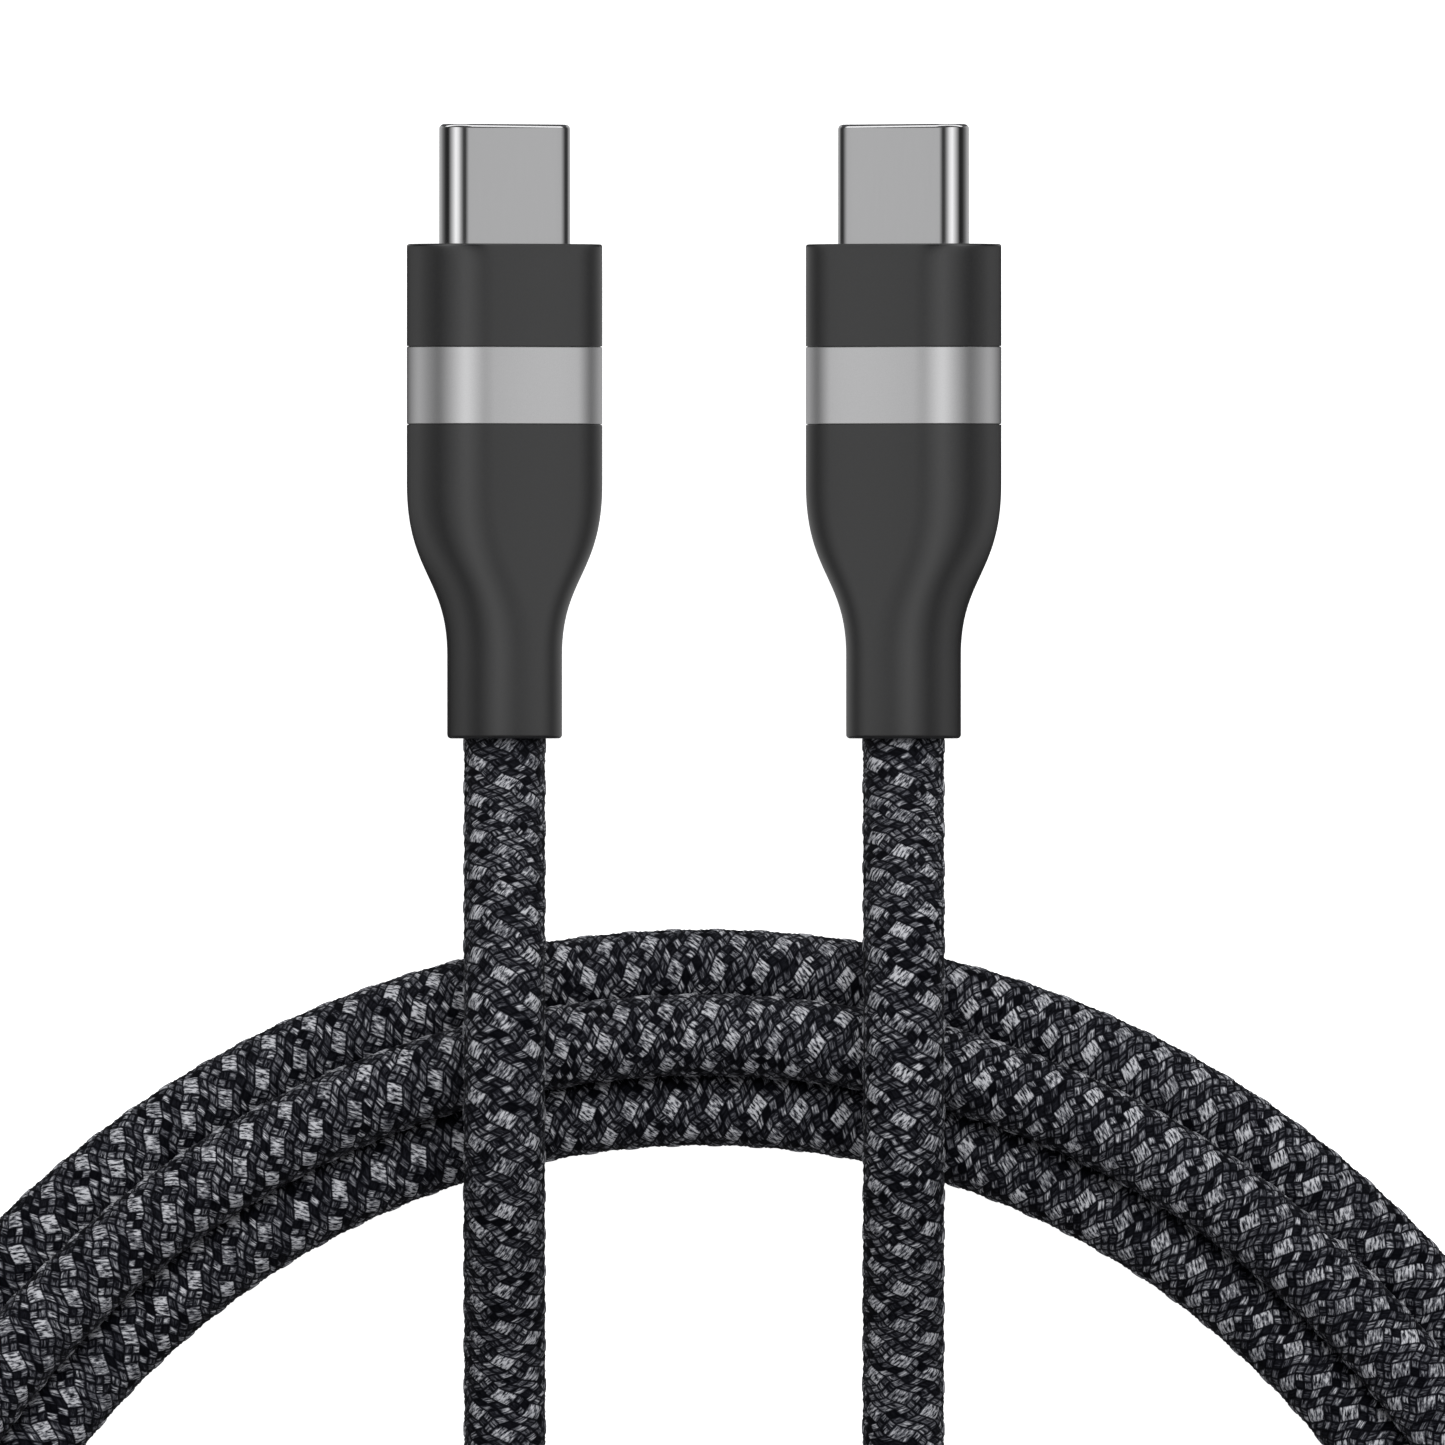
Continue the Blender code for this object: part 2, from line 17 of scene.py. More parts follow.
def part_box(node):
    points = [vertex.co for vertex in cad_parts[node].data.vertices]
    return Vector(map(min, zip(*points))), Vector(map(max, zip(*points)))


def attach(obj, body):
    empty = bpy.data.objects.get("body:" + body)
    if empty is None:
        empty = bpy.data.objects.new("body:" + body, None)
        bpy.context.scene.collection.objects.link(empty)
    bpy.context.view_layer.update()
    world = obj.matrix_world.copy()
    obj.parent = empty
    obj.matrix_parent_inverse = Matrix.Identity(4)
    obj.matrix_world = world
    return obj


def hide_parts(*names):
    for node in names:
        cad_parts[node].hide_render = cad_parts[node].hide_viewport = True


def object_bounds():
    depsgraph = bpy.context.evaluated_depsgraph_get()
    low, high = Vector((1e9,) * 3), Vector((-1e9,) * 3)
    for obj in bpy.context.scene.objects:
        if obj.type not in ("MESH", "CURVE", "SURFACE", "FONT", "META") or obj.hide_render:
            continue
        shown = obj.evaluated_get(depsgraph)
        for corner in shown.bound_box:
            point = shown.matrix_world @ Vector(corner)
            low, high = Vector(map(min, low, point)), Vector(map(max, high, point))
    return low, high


MM = 0.001
MERGE = 1e-6  # points of a loft closer than this are one
ROUNDING = 1e-9
BODY = "cable"  # the body that everything fixed rides on
TAGS = ("a", "b")

# The camera: long lens, straight down, over the plugs
LENS = 1500.0
SENSOR = 36.0
VIEW_WIDTH = 80.06  # across the frame at the plugs' height
VIEW_CENTRE = (1.02, -16.13)
CLIP_END = 50  # metres

# Plug section and edges
BODY_R = 3.15
SLEEVE_R = 3.185
SHELL_FLAT = 2.925
SHELL_R = 1.2
SHELL_WALL = 0.3
SHELL_RIM_ROUND = 0.27
SHELL_RIM_DEPTH = 0.05  # from the tip back to the edge of the shell's inside
NOSE_ROUND = 0.14
RING_CHAMFER = 0.05
EDGE_BEVEL = 0.02  # at the mouldings' edges beside the ring
SEAM_DEPTH = 0.1  # of the groove beside the ring, which the moulding closes but for the gap
SEAM_GAP = 0.004
MOUTH_ROUND = 0.22
MOUTH_BORE_R = 2.36
WALL_R = 2.55
SLOT_CLEARANCE = 0.04
FRONT_WALL = 0.8
TAPER_FRONT = 3.31  # behind the ring's rear edge, where the sides start to narrow
TAPER_REAR = 4.63  # ahead of the mouth, where the sleeve turns round
TAPER_HANDLES = (0.526, 0.456)
TAPER_STEPS = 48
BORE_LENGTH = 8.0  # from the mouth to where the boot's inside starts to widen
BORE_WIDENING = 4.5
ROUND_STEPS = 6
SECTION_STEPS = 64  # facets in each half circle of a section
SHARP_EDGE = math.radians(28)

# The cord's route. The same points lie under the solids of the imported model: one list for the
# run that both plugs share, one for each end's way into the coil, and the coil by formula.
CORD_BURIED_Y = -12.0  # the cord goes on inside the sleeve to here
SHARED_ROUTE = (
    (-21.4, 5.3),
    (-25.85, 7.31),
    (-30.3, 9.3),
    (-34.7, 9.98),
    (-40.4, 9.0),
    (-46.1, 6.14),
    (-51.8, 3.27),
    (-57.5, 2.32),
    (-63.0, 2.32),
)
INCOMING_ROUTE = (
    (10.8, -68.5, 2.32),
    (9.6, -76.0, 2.32),
    (11.1, -83.9, 2.32),
    (16.6, -90.0, 2.32),
    (24.3, -92.3, 2.32),
    (31.6, -90.3, 2.32),
)
OUTGOING_ROUTE = (
    (10.8, -68.5, 2.55),
    (10.3, -76.5, 3.7),
    (12.1, -86.0, 5.5),
    (18.2, -93.0, 6.85),
    (26.5, -95.4, 6.95),
)
COIL_CENTRE_Y = -83.3
TOP_ARC_R = 49.86
TOP_ARC_END = math.radians(55)
SIDE_ARC_R = 28.0
COIL_BOTTOM_Y = -108.6
OUTER_TURN = 3.59
INNER_TURN = -3.89
COIL_FLOOR = 2.32  # height of a cord that lies on the surface
COIL_HEADINGS = range(236, 1211, 10)  # degrees, clockwise from the top of the oval
OUTWARD_SHIFT = (508, 586)  # headings between which the line goes from the inner turn to the outer
INWARD_SHIFT = (860, 956)  # and from there to the middle one
RISES = ((866, 908, 4.72), (912, 960, -1.8), (1172, 1208, 1.2))  # (heading, heading, rise)
SPLINE_STEPS = 64  # between two knots
PATH_STEP = 0.5

# The braid: 8 flat bundles of two yarns each way. In every fourth crossing a light bundle floats
# over the other whole; elsewhere the yarns cross singly, two by two. Drops are how far a surface
# lies under the highest one.
CARRIERS = 8
BRAID_LEAD = 9.52
LINE_PLACES = np.array((0.0, 0.22, 0.5, 0.78, 1.0))  # mesh lines across a crossing, up to the next
LINE_COUNT = 4  # lines of a crossing's own
MIDDLE_LINE = 2  # where two single yarns part
BRAID_R = 2.31
FLOAT_LENGTH = (0.6, 0.7)  # a float's two sides, each as (round the cord, along it)
FLOAT_WIDTH = (-1.15, 0.5)
FLOAT_DROP = 0.01  # beside a float's middle
YARN_DROP = 0.035  # on a single yarn's crown
GROOVE_DROP = 0.08
PIT_DROP = 0.12  # where grooves meet
WANDER = (0.09, 0.08)  # how far the pattern strays from regular: (round the cord, along it)
WANDER_RUNS = (3.7, 5.3)  # how far along the cord its waves take for one radian
FLOAT_TONES = (0.62, 1.0)  # from the darkest yarn of its kind to the lightest
GREY_TONES = (0.34, 0.82)
BLACK_TONES = (0.03, 0.62)
BRAID_SEED = 11
BRAID_PARTS = 4
CORE_R = 1.98
CORE_SIDES = 16

# What the materials share
NOISE_DETAIL = 3.0
NOISE_LOW, NOISE_HIGH = 0.3, 0.7  # the noise seldom leaves this range
ROUGHNESS_SPREAD = 0.08

# The yarns' look
FILAMENT_SCALE = (9.0, 1.8, 5.0)  # grains per millimetre across a yarn and along it, and per yarn
FILAMENT_CONTRAST = (-0.25, 1.85)  # factor on a yarn's tone, from its darkest grain to its lightest
FILAMENT_ROUGHNESS = (0.62, 0.42)
FILAMENT_DEPTH = 0.00003  # metres
PAINTED_GROOVE_SHADE = 0.04  # painted shade: factor on the tone in the middle of a groove
GROOVE_SPAN = 0.45  # how far from the groove to the crown the painted shade reaches
YARN_STOPS = (  # tone, colour
    (0.0, (0.0015, 0.0016, 0.0026)),
    (0.2, (0.012, 0.0125, 0.0165)),
    (0.45, (0.082, 0.084, 0.096)),
    (0.7, (0.2, 0.204, 0.22)),
    (1.0, (0.5, 0.505, 0.53)),
)

# Light
KEY_STRENGTH = 2.75
KEY_SPREAD = math.radians(45)
KEY_TILT = (math.radians(-28), math.radians(6), 0)  # from beyond the plugs, a little from the right
TENT_STRIPS = 120
BODY_TENT_R = 10.2
BODY_TENT_Y = (19.0, -19.5)
SHELL_TENT_R = 6.6
SHELL_TENT_FRONT_Y = 18.8
TENT_CLEARANCE = 0.02  # between the shell's tent and the plug's shoulder
CARD_Y = 32.0
CARD_Z = (2.0, 11.0)
CARD_REACH = 40.0  # to either side
CARD_RADIANCE = 1.2
WORLD_FILL = (0.26, 0.26, 0.27)
WORLD_IN_GLOSS = (0.08, 0.08, 0.083)
FLOOR_REACH = 4.0  # metres from its middle to its edge
FLOOR_DROP = 0.00002  # metres under the object
FLOOR_GREY = 0.7
FLOOR_GLOW = 1.0

# What a tent shines with: (angle in degrees, radiance). Angles run from straight up towards the
# side that the plug's flat face leans to.
BODY_GLOW = (
    (-180, 0.05),
    (-125, 0.05),
    (-100, 0.25),
    (-77, 0.46),
    (-45, 0.15),
    (-10, 0.8),
    (20, 0.38),
    (50, 0.54),
    (70, 0.58),
    (95, 0.12),
    (120, 0.39),
    (145, 0.41),
    (180, 0.3),
)
SHELL_GLOW = (
    (-137, 0.65),
    (-92, 0.42),
    (-77, 0.16),
    (-66, 0.03),
    (-56, 0.02),
    (-47, 0.48),
    (-36, 1.15),
    (-28, 0.9),
    (-21, 0.42),
    (-12, 0.08),
    (-3, 0.04),
    (5, 0.24),
    (16, 0.5),
    (83, 0.515),
    (91, 0.33),
    (101, 0.04),
    (112, 0.04),
    (124, 0.46),
)

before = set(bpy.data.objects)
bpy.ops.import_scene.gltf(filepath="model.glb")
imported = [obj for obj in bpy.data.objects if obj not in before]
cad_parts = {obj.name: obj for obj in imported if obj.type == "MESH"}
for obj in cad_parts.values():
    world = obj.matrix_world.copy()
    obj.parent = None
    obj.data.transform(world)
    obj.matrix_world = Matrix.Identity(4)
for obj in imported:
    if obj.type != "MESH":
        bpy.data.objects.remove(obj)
cad_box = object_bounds()


# ---------------------------------------------------------------- where the plugs lie


def plug_placement(tag):
    """The plug's own frame, read from its ring: a stadium that is turned about Y."""
    low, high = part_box(f"{tag}_metal_ring")
    across = (high.x - low.x) / 2 - BODY_R * MM
    rise = (high.z - low.z) / 2 - BODY_R * MM
    centre = (low + high) / 2
    roll = -math.copysign(math.atan2(rise, across), centre.x)
    return Matrix.Translation((centre.x, 0, centre.z)) @ Matrix.Rotation(roll, 4, "Y")


def body_flat():
    """Half the width of the body's flat faces."""
    low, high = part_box("a_metal_ring")
    across = (high.x - low.x) / 2 - BODY_R * MM
    rise = (high.z - low.z) / 2 - BODY_R * MM
    return math.hypot(across, rise) / MM


PLACEMENT = {tag: plug_placement(tag) for tag in TAGS}
PLUG_X = PLACEMENT["b"].translation.x / MM
REST_HEIGHT = PLACEMENT["b"].translation.z / MM
BODY_FLAT = body_flat()
TIP_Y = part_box("a_plug_shell")[1].y / MM
SHELL_REAR_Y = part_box("a_plug_shell")[0].y / MM
SHOULDER_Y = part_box("a_front_cover")[1].y / MM
COVER_REAR_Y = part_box("a_front_cover")[0].y / MM
RING_FRONT_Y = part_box("a_metal_ring")[1].y / MM
RING_REAR_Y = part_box("a_metal_ring")[0].y / MM
BOOT_FRONT_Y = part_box("a_rear_boot")[1].y / MM
TAIL_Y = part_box("a_rear_boot")[0].y / MM


# ---------------------------------------------------------------- materials


class Nodes:
    """A new node material with a Principled shader, and short calls for what feeds it."""

    def __init__(self, name):
        self.material = bpy.data.materials.new(name)
        self.material.use_nodes = True
        self.tree = self.material.node_tree
        self.shader = self.tree.nodes["Principled BSDF"]

    def add(self, kind, **settings):
        node = self.tree.nodes.new(kind)
        for key, value in settings.items():
            setattr(node, key, value)
        return node

    def link(self, source, target):
        self.tree.links.new(source, target)

    def set(self, **values):
        """Sets the shader's own sockets; an underscore stands for a space."""
        for key, value in values.items():
            self.shader.inputs[key.replace("_", " ")].default_value = value

    def object_position(self, scale):
        mapping = self.add("ShaderNodeMapping")
        mapping.inputs["Scale"].default_value = scale
        self.link(self.add("ShaderNodeTexCoord").outputs["Object"], mapping.inputs["Vector"])
        return mapping.outputs["Vector"]

    def noise(self, vector, roughness=0.5):
        """Noise whose grains are about one unit of the vector."""
        node = self.add("ShaderNodeTexNoise")
        node.inputs["Scale"].default_value = 1.0
        node.inputs["Detail"].default_value = NOISE_DETAIL
        node.inputs["Roughness"].default_value = roughness
        self.link(vector, node.inputs["Vector"])
        return node.outputs["Fac"]

    def ranged(self, value, low, high, from_low=NOISE_LOW, from_high=NOISE_HIGH):
        """Spreads the values between from_low and from_high over low to high."""
        node = self.add("ShaderNodeMapRange")
        for key, number in (
            ("From Min", from_low),
            ("From Max", from_high),
            ("To Min", low),
            ("To Max", high),
        ):
            node.inputs[key].default_value = number
        self.link(value, node.inputs["Value"])
        return node.outputs["Result"]

    def maths(self, operation, first, second):
        node = self.add("ShaderNodeMath", operation=operation)
        self.link(first, node.inputs[0])
        self.link(second, node.inputs[1])
        return node.outputs["Value"]

    def attribute(self, name, output="Fac"):
        return self.add("ShaderNodeAttribute", attribute_name=name).outputs[output]

    def ramp(self, value, stops):
        """Colour by value; stops are (position, colour)."""
        node = self.add("ShaderNodeValToRGB")
        elements = node.color_ramp.elements
        while len(elements) < len(stops):
            elements.new(0.5)
        for element, (position, colour) in zip(elements, stops):
            element.position = position
            element.color = (*colour, 1)
        self.link(value, node.inputs["Fac"])
        return node.outputs["Color"]

    def bump(self, height, distance):
        node = self.add("ShaderNodeBump")
        node.inputs["Strength"].default_value = 1.0
        node.inputs["Distance"].default_value = distance
        self.link(height, node.inputs["Height"])
        self.link(node.outputs["Normal"], self.shader.inputs["Normal"])


def shaded(colour, factor):
    return tuple(channel * factor for channel in colour)


def grained(name, colour, spread, roughness, grain, depth, metallic=0.0, stretch=(1, 1, 1), **more):
    """A material whose colour, gloss and height all vary with one fine grain.

    spread is how far the colour varies, grain the size of a grain and depth its height, both in
    metres, and stretch draws the grain out along an axis, as brushing does.
    """
    nodes = Nodes(name)
    vector = nodes.object_position([1 / (grain * s) for s in stretch])
    fine = nodes.noise(vector)
    stops = ((NOISE_LOW, shaded(colour, 1 - spread)), (NOISE_HIGH, shaded(colour, 1 + spread)))
    nodes.link(nodes.ramp(fine, stops), nodes.shader.inputs["Base Color"])
    rough = [roughness * (1 + share) for share in (-ROUGHNESS_SPREAD, ROUGHNESS_SPREAD)]
    nodes.link(nodes.ranged(fine, *rough), nodes.shader.inputs["Roughness"])
    nodes.bump(fine, depth)
    nodes.set(Metallic=metallic, **more)
    return nodes.material


def braid_material():
    """Flat bundles of filaments. Each corner of the mesh holds its place across and along its
    yarn in millimetres with the yarn's number, the yarn's tone, and for each direction of the
    lattice 0 in a groove and 1 on a crown."""
    nodes = Nodes("braided_yarn")
    mapping = nodes.add("ShaderNodeMapping")
    mapping.inputs["Scale"].default_value = FILAMENT_SCALE
    nodes.link(nodes.attribute("fibre", "Vector"), mapping.inputs["Vector"])
    filaments = nodes.noise(mapping.outputs["Vector"], roughness=0.6)
    crown = nodes.add("ShaderNodeSeparateXYZ")
    nodes.link(nodes.attribute("crown", "Vector"), crown.inputs["Vector"])
    height = nodes.maths("MINIMUM", crown.outputs["X"], crown.outputs["Y"])
    # Painted shade: the yarn's tone is darkened towards the grooves where the yarns dip, falling off
    # towards the crowns
    painted_shade_in_grooves = nodes.ranged(height, PAINTED_GROOVE_SHADE, 1.0, 0.0, GROOVE_SPAN)
    shade = nodes.maths("MULTIPLY", nodes.attribute("tone"), painted_shade_in_grooves)
    level = nodes.maths("MULTIPLY", shade, nodes.ranged(filaments, *FILAMENT_CONTRAST))
    nodes.link(nodes.ramp(level, YARN_STOPS), nodes.shader.inputs["Base Color"])
    nodes.link(nodes.ranged(filaments, *FILAMENT_ROUGHNESS), nodes.shader.inputs["Roughness"])
    nodes.bump(filaments, FILAMENT_DEPTH)
    nodes.set(Sheen_Weight=0.008, Sheen_Roughness=0.4, Specular_IOR_Level=0.06)
    return nodes.material


BRAIDED_YARN = braid_material()
BLACK_MOULDING = grained(
    "black_soft_moulding", (0.012, 0.012, 0.0125), 0.2, 0.3, 0.00009, 0.0000007, IOR=1.8
)
ALUMINIUM = grained(
    "bead_blasted_aluminium", (0.83, 0.83, 0.84), 0.03, 0.3, 0.00007, 0.0000015, metallic=1.0
)
NICKEL = grained(
    "bright_nickel", (0.78, 0.78, 0.79), 0.006, 0.1, 0.0002, 0.0000002, 1.0, (1, 12, 1)
)
CORE_JACKET = grained("dark_jacket", (0.006, 0.006, 0.007), 0.3, 0.6, 0.0002, 0.00001)
# By how a node's name ends. The numbers are spread, roughness, grain, depth and metallic.
CAD_LOOKS = {
    "contact_block": grained(
        "matt_black_block", (0.012, 0.012, 0.012), 0.2, 0.5, 0.0001, 0.000002
    ),
    "contacts": grained("gold_plate", (0.86, 0.6, 0.24), 0.05, 0.22, 0.0002, 0.0000005, 1.0),
    "solder_tails": grained("tinned_gold", (0.8, 0.66, 0.4), 0.06, 0.3, 0.0002, 0.000001, 1.0),
    "latch": grained("spring_steel", (0.62, 0.62, 0.64), 0.04, 0.25, 0.0002, 0.0000005, 1.0),
    "circuit_board": grained("solder_mask", (0.015, 0.11, 0.045), 0.25, 0.35, 0.0004, 0.00001),
    "marker_chip": grained("chip_epoxy", (0.02, 0.02, 0.02), 0.2, 0.6, 0.0001, 0.000004),
    "capacitor": grained("capacitor_ceramic", (0.36, 0.25, 0.15), 0.1, 0.45, 0.0001, 0.000003),
    "shield": grained("stamped_steel", (0.58, 0.58, 0.6), 0.05, 0.3, 0.0003, 0.000002, 1.0),
    "cable_crimp": grained("crimp_copper", (0.75, 0.44, 0.3), 0.08, 0.28, 0.0002, 0.000001, 1.0),
    "power_wire": grained("red_insulation", (0.55, 0.02, 0.02), 0.1, 0.4, 0.0002, 0.000002),
    "ground_wire": grained("black_insulation", (0.02, 0.02, 0.02), 0.2, 0.4, 0.0002, 0.000002),
    "data_wire_plus": grained("green_insulation", (0.02, 0.32, 0.06), 0.1, 0.4, 0.0002, 0.000002),
    "data_wire_minus": grained("white_insulation", (0.7, 0.7, 0.68), 0.05, 0.4, 0.0002, 0.000002),
    "configuration_wire": grained("blue_insulation", (0.03, 0.1, 0.45), 0.1, 0.4, 0.0002, 0.000002),
    "inner_core": grained("core_plastic", (0.6, 0.6, 0.57), 0.04, 0.5, 0.0003, 0.000005),
    "cord_end": CORE_JACKET,
}


def dress_cad_nodes():
    """Gives every node that keeps its CAD shape the material for its kind."""
    for name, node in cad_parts.items():
        look = next((CAD_LOOKS[key] for key in CAD_LOOKS if name.endswith(key)), None)
        if look:
            node.data.materials.clear()
            node.data.materials.append(look)


# ---------------------------------------------------------------- the plugs' visible pieces


def stadium(flat, radius):
    """Outline in X and Z: half circles about x = flat and x = -flat."""
    turns = [math.pi * (i / SECTION_STEPS - 0.5) for i in range(SECTION_STEPS + 1)]
    right = [(flat + radius * math.cos(t), radius * math.sin(t)) for t in turns]
    return right + [(-x, -z) for x, z in right]


def quarter(y, radius, size, first, last, steps=ROUND_STEPS):
    """Points (y, radius) of an arc of that size about a centre, between two angles in degrees."""
    points = []
    for i in range(steps + 1):
        turn = math.radians(first + (last - first) * i / steps)
        points.append((y + size * math.cos(turn), radius + size * math.sin(turn)))
    return points


def loft(name, stations, look, tag, replaced):
    """A shell through stadium sections (y, half flat, radius), closed on itself."""
    shape = bmesh.new()
    rings = []
    for y, flat, radius in stations:
        rings.append([shape.verts.new((x, y, z)) for x, z in stadium(flat, radius)])
    for first, second in zip(rings, rings[1:] + rings[:1]):
        for i in range(len(first)):
            j = (i + 1) % len(first)
            shape.faces.new((first[i], first[j], second[j], second[i]))
    bmesh.ops.remove_doubles(shape, verts=shape.verts, dist=MERGE)
    bmesh.ops.recalc_face_normals(shape, faces=shape.faces)
    mesh = bpy.data.meshes.new(name)
    shape.to_mesh(mesh)
    shape.free()
    mesh.transform(PLACEMENT[tag] @ Matrix.Scale(MM, 4))
    mesh.shade_smooth()
    mesh.set_sharp_from_angle(angle=SHARP_EDGE)
    mesh.materials.append(look)
    piece = bpy.data.objects.new(name, mesh)
    bpy.context.scene.collection.objects.link(piece)
    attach(piece, BODY)
    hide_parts(replaced)
    return piece


def make_shell(tag):
    """The plated shell, its front edge rolled inwards."""
    outside = SHELL_R - SHELL_RIM_ROUND
    rim = quarter(TIP_Y - SHELL_RIM_ROUND, outside, SHELL_RIM_ROUND, 90, 0, 2 * ROUND_STEPS)
    inside = SHELL_R - SHELL_WALL
    stations = [(SHELL_REAR_Y, SHELL_FLAT, SHELL_R)]
    stations += [(y, SHELL_FLAT, radius) for y, radius in rim]
    stations += [(TIP_Y - SHELL_RIM_DEPTH, SHELL_FLAT, inside), (SHELL_REAR_Y, SHELL_FLAT, inside)]
    loft(f"{tag}_rolled_shell", stations, NICKEL, tag, f"{tag}_plug_shell")


def make_front_cover(tag):
    """The moulding between the shell and the ring, with an eased nose."""
    slot_r = SHELL_R + SLOT_CLEARANCE
    nose = quarter(SHOULDER_Y - NOSE_ROUND, BODY_R - NOSE_ROUND, NOSE_ROUND, 90, 0)
    stations = [
        (RING_FRONT_Y + SEAM_GAP, BODY_FLAT, BODY_R - SEAM_DEPTH),
        (COVER_REAR_Y, BODY_FLAT, BODY_R - SEAM_DEPTH),
        (COVER_REAR_Y, BODY_FLAT, BODY_R - EDGE_BEVEL),
        (COVER_REAR_Y + EDGE_BEVEL, BODY_FLAT, BODY_R),
    ]
    stations += [(y, BODY_FLAT, radius) for y, radius in nose]
    stations += [
        (SHOULDER_Y, SHELL_FLAT, slot_r),
        (SHOULDER_Y - FRONT_WALL, SHELL_FLAT, slot_r),
        (SHOULDER_Y - FRONT_WALL, BODY_FLAT, WALL_R),
        (RING_FRONT_Y + SEAM_GAP, BODY_FLAT, WALL_R),
    ]
    loft(f"{tag}_front_moulding", stations, BLACK_MOULDING, tag, f"{tag}_front_cover")


def make_ring(tag):
    """The metal band, with a bright chamfer on each edge."""
    stations = (
        (RING_REAR_Y, BODY_FLAT, BODY_R - RING_CHAMFER),
        (RING_REAR_Y + RING_CHAMFER, BODY_FLAT, BODY_R),
        (RING_FRONT_Y - RING_CHAMFER, BODY_FLAT, BODY_R),
        (RING_FRONT_Y, BODY_FLAT, BODY_R - RING_CHAMFER),
        (RING_FRONT_Y, BODY_FLAT, WALL_R),
        (RING_REAR_Y, BODY_FLAT, WALL_R),
    )
    loft(f"{tag}_ring_band", stations, ALUMINIUM, tag, f"{tag}_metal_ring")


def taper_stations():
    """The body narrows to the round sleeve along a curve that leaves and ends straight."""
    start, end = RING_REAR_Y - TAPER_FRONT, TAIL_Y + TAPER_REAR
    first, last = TAPER_HANDLES
    stations = []
    for i in range(TAPER_STEPS + 1):
        u = i / TAPER_STEPS
        along = 3 * u * (1 - u) ** 2 * first + 3 * u**2 * (1 - u) * (1 - last) + u**3
        narrowed = 3 * u**2 - 2 * u**3
        radius = BODY_R + (SLEEVE_R - BODY_R) * narrowed
        stations.append((start + along * (end - start), BODY_FLAT * (1 - narrowed), radius))
    return stations


def make_rear_boot(tag):
    """The moulding behind the ring, which tapers to a round sleeve around the cord."""
    mouth = quarter(TAIL_Y + MOUTH_ROUND, SLEEVE_R - MOUTH_ROUND, MOUTH_ROUND, 90, 180)
    lip = quarter(TAIL_Y + MOUTH_ROUND, MOUTH_BORE_R + MOUTH_ROUND, MOUTH_ROUND, 180, 270)
    bore_end = TAIL_Y + BORE_LENGTH
    stations = [
        (RING_REAR_Y - SEAM_GAP, BODY_FLAT, BODY_R - SEAM_DEPTH),
        (BOOT_FRONT_Y, BODY_FLAT, BODY_R - SEAM_DEPTH),
        (BOOT_FRONT_Y, BODY_FLAT, BODY_R - EDGE_BEVEL),
        (BOOT_FRONT_Y - EDGE_BEVEL, BODY_FLAT, BODY_R),
    ]
    stations += taper_stations()
    stations += [(y, 0, radius) for y, radius in mouth + lip]
    stations += [
        (bore_end, 0, MOUTH_BORE_R),
        (bore_end + BORE_WIDENING, BODY_FLAT, WALL_R),
        (RING_REAR_Y - SEAM_GAP, BODY_FLAT, WALL_R),
    ]
    loft(f"{tag}_rear_sleeve", stations, BLACK_MOULDING, tag, f"{tag}_rear_boot")


# ---------------------------------------------------------------- the cord


def smooth_step(start, end, value):
    t = min(1.0, max(0.0, (value - start) / (end - start)))
    return t**3 * (t * (6 * t - 15) + 10)


def oval_arcs():
    """The arcs of the middle turn's line: (centre x, centre y, radius, heading where it ends)."""
    side_x = (TOP_ARC_R - SIDE_ARC_R) * math.sin(TOP_ARC_END)
    side_y = COIL_CENTRE_Y + (TOP_ARC_R - SIDE_ARC_R) * math.cos(TOP_ARC_END)
    depth = side_y - SIDE_ARC_R - COIL_BOTTOM_Y
    side_end = 2 * math.atan2(side_x, depth)
    bottom_r = SIDE_ARC_R + side_x / math.sin(side_end)
    return (
        (0, COIL_CENTRE_Y, TOP_ARC_R, TOP_ARC_END),
        (side_x, side_y, SIDE_ARC_R, side_end),
        (0, COIL_BOTTOM_Y + bottom_r, bottom_r, math.pi),
    )


def oval_point(heading, offset):
    """The point at this heading, offset outwards from the middle turn's line."""
    turned = min(heading, 2 * math.pi - heading)
    side = 1 if heading <= math.pi else -1
    x, y, radius, _ = next(arc for arc in oval_arcs() if turned <= arc[3] + ROUNDING)
    x += (radius + offset) * math.sin(turned)
    return side * x, y + (radius + offset) * math.cos(turned)


def coil_point(heading):
    """Inner turn, then outer turn, then the middle turn that lies in the groove between them."""
    offset = INNER_TURN + (OUTER_TURN - INNER_TURN) * smooth_step(*OUTWARD_SHIFT, heading)
    offset -= OUTER_TURN * smooth_step(*INWARD_SHIFT, heading)
    height = COIL_FLOOR + sum(rise * smooth_step(*span, heading) for *span, rise in RISES)
    return (*oval_point(math.radians(heading % 360), offset), height)


def cord_knots():
    """From inside one plug's sleeve, over the coil, round it and back to the other plug."""
    mouth = ((PLUG_X, CORD_BURIED_Y, REST_HEIGHT), (PLUG_X, TAIL_Y, REST_HEIGHT))
    run = mouth + tuple((PLUG_X, y, z) for y, z in SHARED_ROUTE)
    start = [(-x, y, z) for x, y, z in run + INCOMING_ROUTE]
    end = list(reversed(run + OUTGOING_ROUTE))
    return np.array(start + [coil_point(heading) for heading in COIL_HEADINGS] + end, float)


